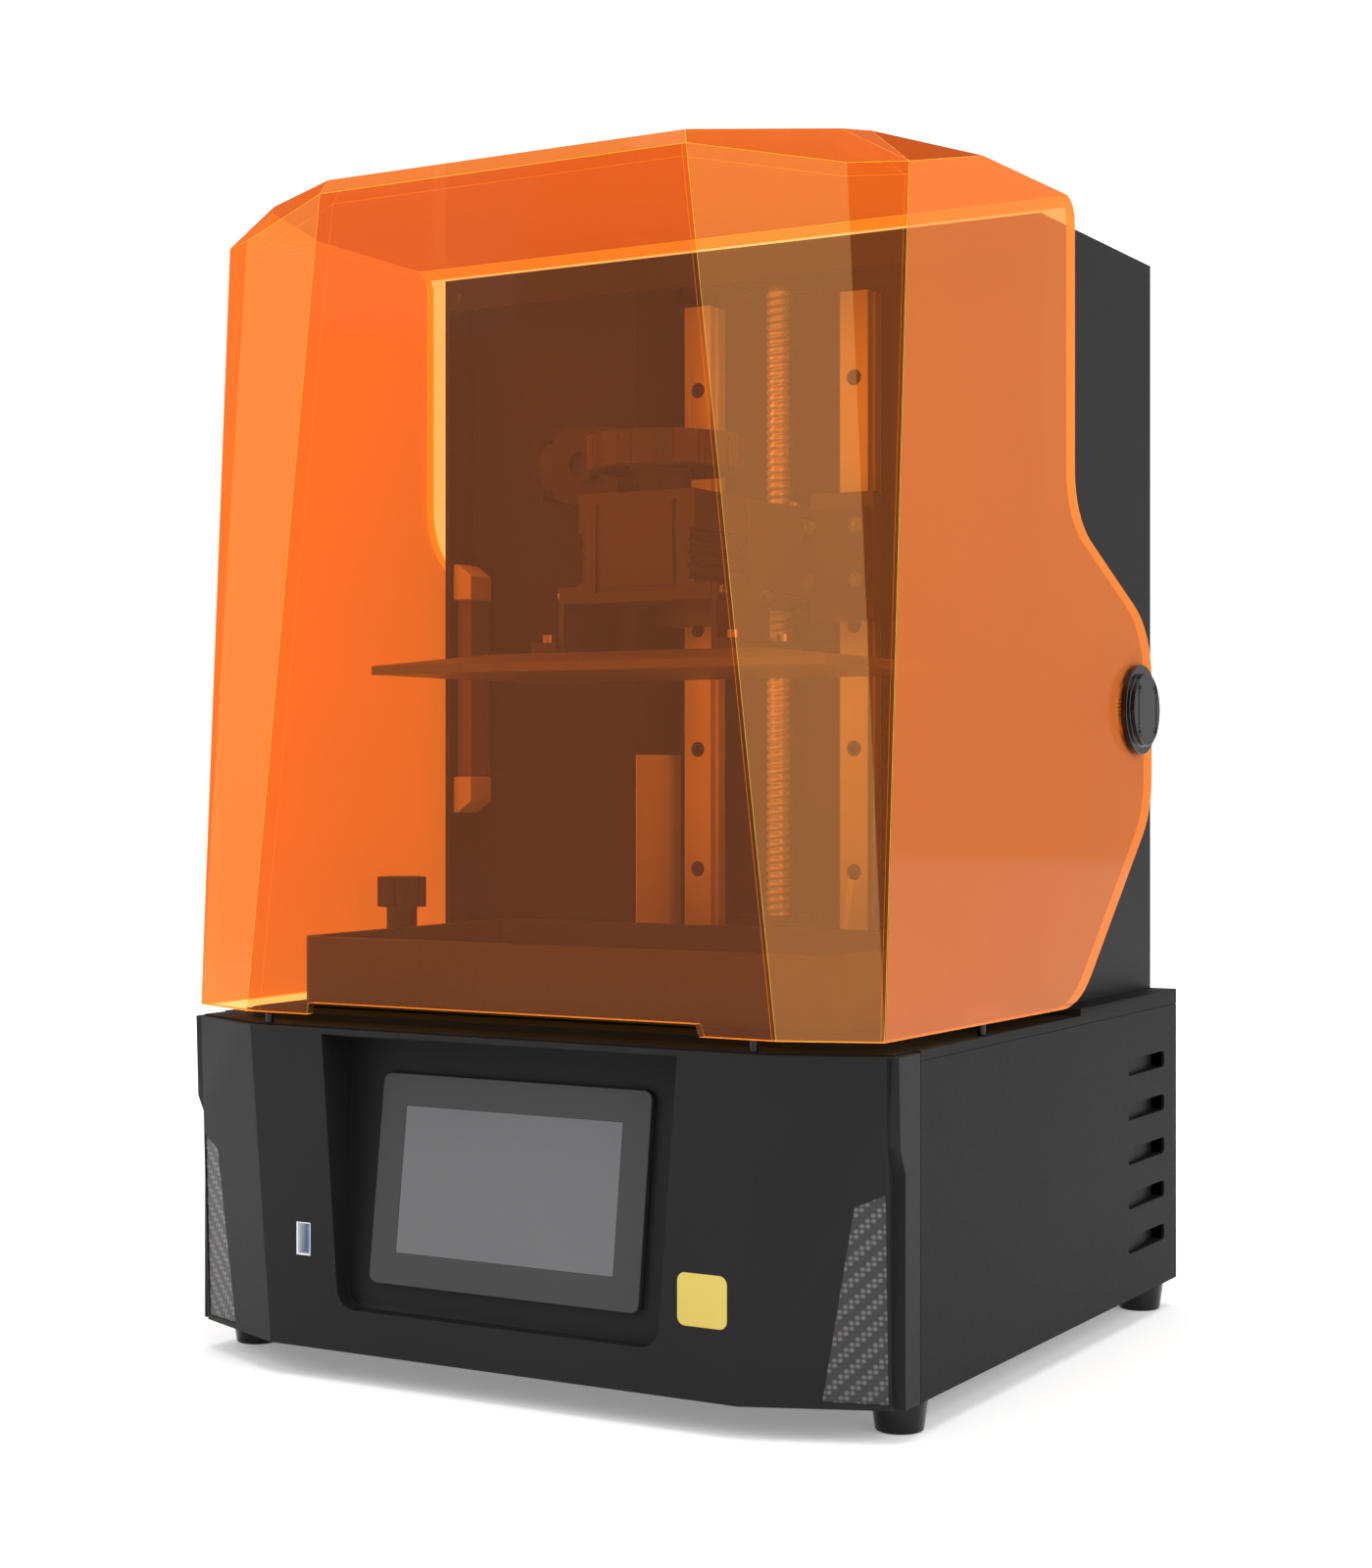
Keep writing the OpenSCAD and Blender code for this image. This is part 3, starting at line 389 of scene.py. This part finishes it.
def louvre_scoops(name, side, node):
    """Pressed channels behind the vents: flush at the front end, deep and open at the rear end."""
    bm = bmesh.new()
    edge_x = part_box(node)[1][0] if side > 0 else -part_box(node)[0][0]
    outer = edge_x - SHEET
    for k in range(VENT_COUNT):
        zc = VENT_Z - VENT_PITCH * k
        loops = []
        for y, depth in SCOOP_DEPTHS:
            floor_x = outer - depth
            h, t = SCOOP_HALF, SCOOP_WALL
            pts = [(outer, h), (floor_x, h), (floor_x, -h), (outer, -h), (outer, -h - t),
                   (floor_x - t, -h - t), (floor_x - t, h + t), (outer, h + t)]
            loops.append([bm.verts.new((side * x, y, zc + z)) for x, z in pts])
        for a, b in zip(loops, loops[1:]):
            for i in range(8):
                bm.faces.new((a[i], a[(i + 1) % 8], b[(i + 1) % 8], b[i]))
        bm.faces.new(loops[0])
        bm.faces.new(list(reversed(loops[-1])))
    bmesh.ops.recalc_face_normals(bm, faces=bm.faces)
    me = bpy.data.meshes.new(name)
    bm.to_mesh(me)
    bm.free()
    add_piece(name, me, "root", None, [MAT["sheet"]], smooth=30)


louvre_scoops("louvre_scoops_right", 1, "base_side_right")
louvre_scoops("louvre_scoops_left", -1, "base_side_left")

BAR_Z = (0.2585, 0.3475)  # the diffuser between the two end blocks
bar = bpy.data.objects["light_bar_finished"]
bar.data.materials.append(MAT["bar_tint"])
for poly in bar.data.polygons:
    if BAR_Z[0] < poly.center.z < BAR_Z[1]:
        poly.material_index = 1

# ------------------------------------------------------------------ ball screw thread
def helix_screw(z0, z1, radius, lead, depth, y, sides=28, rows_per_turn=8):
    """Right-hand rolled thread as one closed skin."""
    bm = bmesh.new()
    rows = int((z1 - z0) / lead * rows_per_turn)
    rings = []
    for i in range(rows + 1):
        z = z0 + (z1 - z0) * i / rows
        ring = []
        for k in range(sides):
            a = 2 * math.pi * k / sides
            phase = (z / lead - a / (2 * math.pi)) % 1.0
            r = radius - depth * max(0.0, math.cos(2 * math.pi * phase)) ** 0.7
            if z - z0 < lead or z1 - z < lead:
                r = min(r, radius - depth * 0.5)
            ring.append(bm.verts.new((r * math.cos(a), y + r * math.sin(a), z)))
        rings.append(ring)
    for a, b in zip(rings, rings[1:]):
        for k in range(sides):
            bm.faces.new((a[k], a[(k + 1) % sides], b[(k + 1) % sides], b[k]))
    bm.faces.new(list(reversed(rings[0])))
    bm.faces.new(rings[-1])
    me = bpy.data.meshes.new("ball_screw_thread")
    bm.to_mesh(me)
    bm.free()
    return me


SCREW_RADIUS, SCREW_LEAD, SCREW_DEPTH, SCREW_Y = 0.006, 0.004, 0.0009, 0.083
lo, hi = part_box("ball_screw")
add_piece("ball_screw_thread",
          helix_screw(lo[2], hi[2], SCREW_RADIUS, SCREW_LEAD, SCREW_DEPTH, SCREW_Y), "z_screw",
          "ball_screw", [MAT["screw_steel"]], smooth=60)

# ------------------------------------------------------------------ studio
def add_area(name, loc, target, size, power):
    light = bpy.data.lights.new(name, "AREA")
    light.shape = "RECTANGLE"
    light.size, light.size_y = size
    light.energy = power
    obj = bpy.data.objects.new(name, light)
    obj.location = loc
    obj.rotation_euler = (Vector(target) - Vector(loc)).to_track_quat("-Z", "Y").to_euler()
    scene.collection.objects.link(obj)


add_area("key_left", (-1.3, -1.2, 1.3), (0, 0, 0.3), (1.2, 1.2), 14)
add_area("fill_right", (1.6, -0.3, 0.9), (0, 0, 0.3), (1.0, 1.4), 16)
add_area("top", (0, 0, 1.9), (0, 0, 0.3), (1.6, 1.6), 26)

BACKDROP_LIGHT, BACKDROP_SEEN = 0.5, 1.5  # as a lamp, and straight to the camera
world = bpy.data.worlds.new("studio")
scene.world = world
world.use_nodes = True
wn = world.node_tree
bg = wn.nodes["Background"]
bg.inputs["Color"].default_value = (1, 1, 1, 1)
bg.inputs["Strength"].default_value = BACKDROP_LIGHT
seen = wn.nodes.new("ShaderNodeBackground")
seen.inputs["Strength"].default_value = BACKDROP_SEEN
pick = wn.nodes.new("ShaderNodeMixShader")
path = wn.nodes.new("ShaderNodeLightPath")
wn.links.new(path.outputs["Is Camera Ray"], pick.inputs[0])
wn.links.new(bg.outputs[0], pick.inputs[1])
wn.links.new(seen.outputs[0], pick.inputs[2])
wn.links.new(pick.outputs[0], wn.nodes["World Output"].inputs["Surface"])

FLOOR_HALF = 6.0
bm = bmesh.new()
bmesh.ops.create_grid(bm, x_segments=4, y_segments=4, size=FLOOR_HALF)
floor_mesh = bpy.data.meshes.new("studio_floor")
bm.to_mesh(floor_mesh)
bm.free()
floor = bpy.data.objects.new("studio_floor", floor_mesh)
scene.collection.objects.link(floor)
fm, nt, p = new_mat("floor_white_painted_shade_near")
p.inputs["Base Color"].default_value = (0.88, 0.88, 0.88, 1)
p.inputs["Roughness"].default_value = 0.9
p.inputs["Specular IOR Level"].default_value = 0.0
p.inputs["Emission Color"].default_value = (1, 1, 1, 1)
co = nt.nodes.new("ShaderNodeTexCoord")
away = nt.nodes.new("ShaderNodeVectorMath")
away.operation = "LENGTH"
nt.links.new(co.outputs["Object"], away.inputs[0])
# Painted shade: the floor's emission is lower near the printer and rises to full white far away.
painted_glow = nt.nodes.new("ShaderNodeMapRange")
painted_glow.inputs["From Min"].default_value = 0.25
painted_glow.inputs["From Max"].default_value = 1.3
painted_glow.inputs["To Min"].default_value = 0.26
painted_glow.inputs["To Max"].default_value = 0.72
nt.links.new(away.outputs["Value"], painted_glow.inputs["Value"])
nt.links.new(painted_glow.outputs["Result"], p.inputs["Emission Strength"])
floor_mesh.materials.append(fm)

# ------------------------------------------------------------------ camera
FOCAL_OVER_HEIGHT = 2655 / 1600
SENSOR = 36
cam_data = bpy.data.cameras.new("camera")
cam_data.lens = FOCAL_OVER_HEIGHT * SENSOR
cam_data.sensor_width = SENSOR
cam_data.shift_y = -0.0064
camera = bpy.data.objects.new("camera", cam_data)
camera.location = (0.6041, -1.0549, 0.2596)
camera.rotation_euler = (math.radians(90), 0, math.radians(30))
scene.collection.objects.link(camera)
scene.camera = camera
scene.view_settings.view_transform = "Standard"
